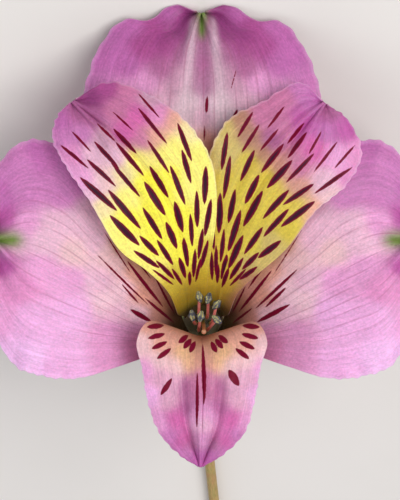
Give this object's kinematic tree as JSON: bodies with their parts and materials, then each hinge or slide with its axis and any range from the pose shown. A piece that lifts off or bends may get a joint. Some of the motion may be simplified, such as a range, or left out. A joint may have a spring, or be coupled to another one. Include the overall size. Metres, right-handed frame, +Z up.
{
  "type": "cut alstroemeria",
  "caption": "Cut alstroemeria: pink bloom with yellow streaked inner tepals, on a lying stem with narrow leaves.",
  "frame": {"origin": "middle of the lying flower's box, on the ground", "axes": "+Z up; +Y along the lying stem from the bloom to the cut end; the bloom faces -Y and up"},
  "size_m": [0.0806, 0.169, 0.0454],
  "materials": {
    "outer_tepal": "satin",
    "upper_inner_tepal": "satin",
    "lower_inner_tepal": "satin",
    "filament": "satin",
    "anther": "matte",
    "ovary": "satin",
    "stem": "satin",
    "leaf": "satin"
  },
  "bodies": {
    "root": {"outer_top": "outer_tepal", "outer_left": "outer_tepal", "outer_right": "outer_tepal", "inner_upper_left": "upper_inner_tepal", "inner_upper_right": "upper_inner_tepal", "inner_lower": "lower_inner_tepal", "filament_1": "filament", "filament_2": "filament", "filament_3": "filament", "filament_4": "filament", "filament_5": "filament", "filament_6": "filament", "anther_1": "anther", "anther_2": "anther", "anther_3": "anther", "anther_4": "anther", "anther_5": "anther", "anther_6": "anther", "style": "filament", "ovary": "ovary", "stem": "stem", "leaf_1": "leaf", "leaf_2": "leaf", "leaf_3": "leaf", "leaf_4": "leaf"}
  },
  "joints": []
}
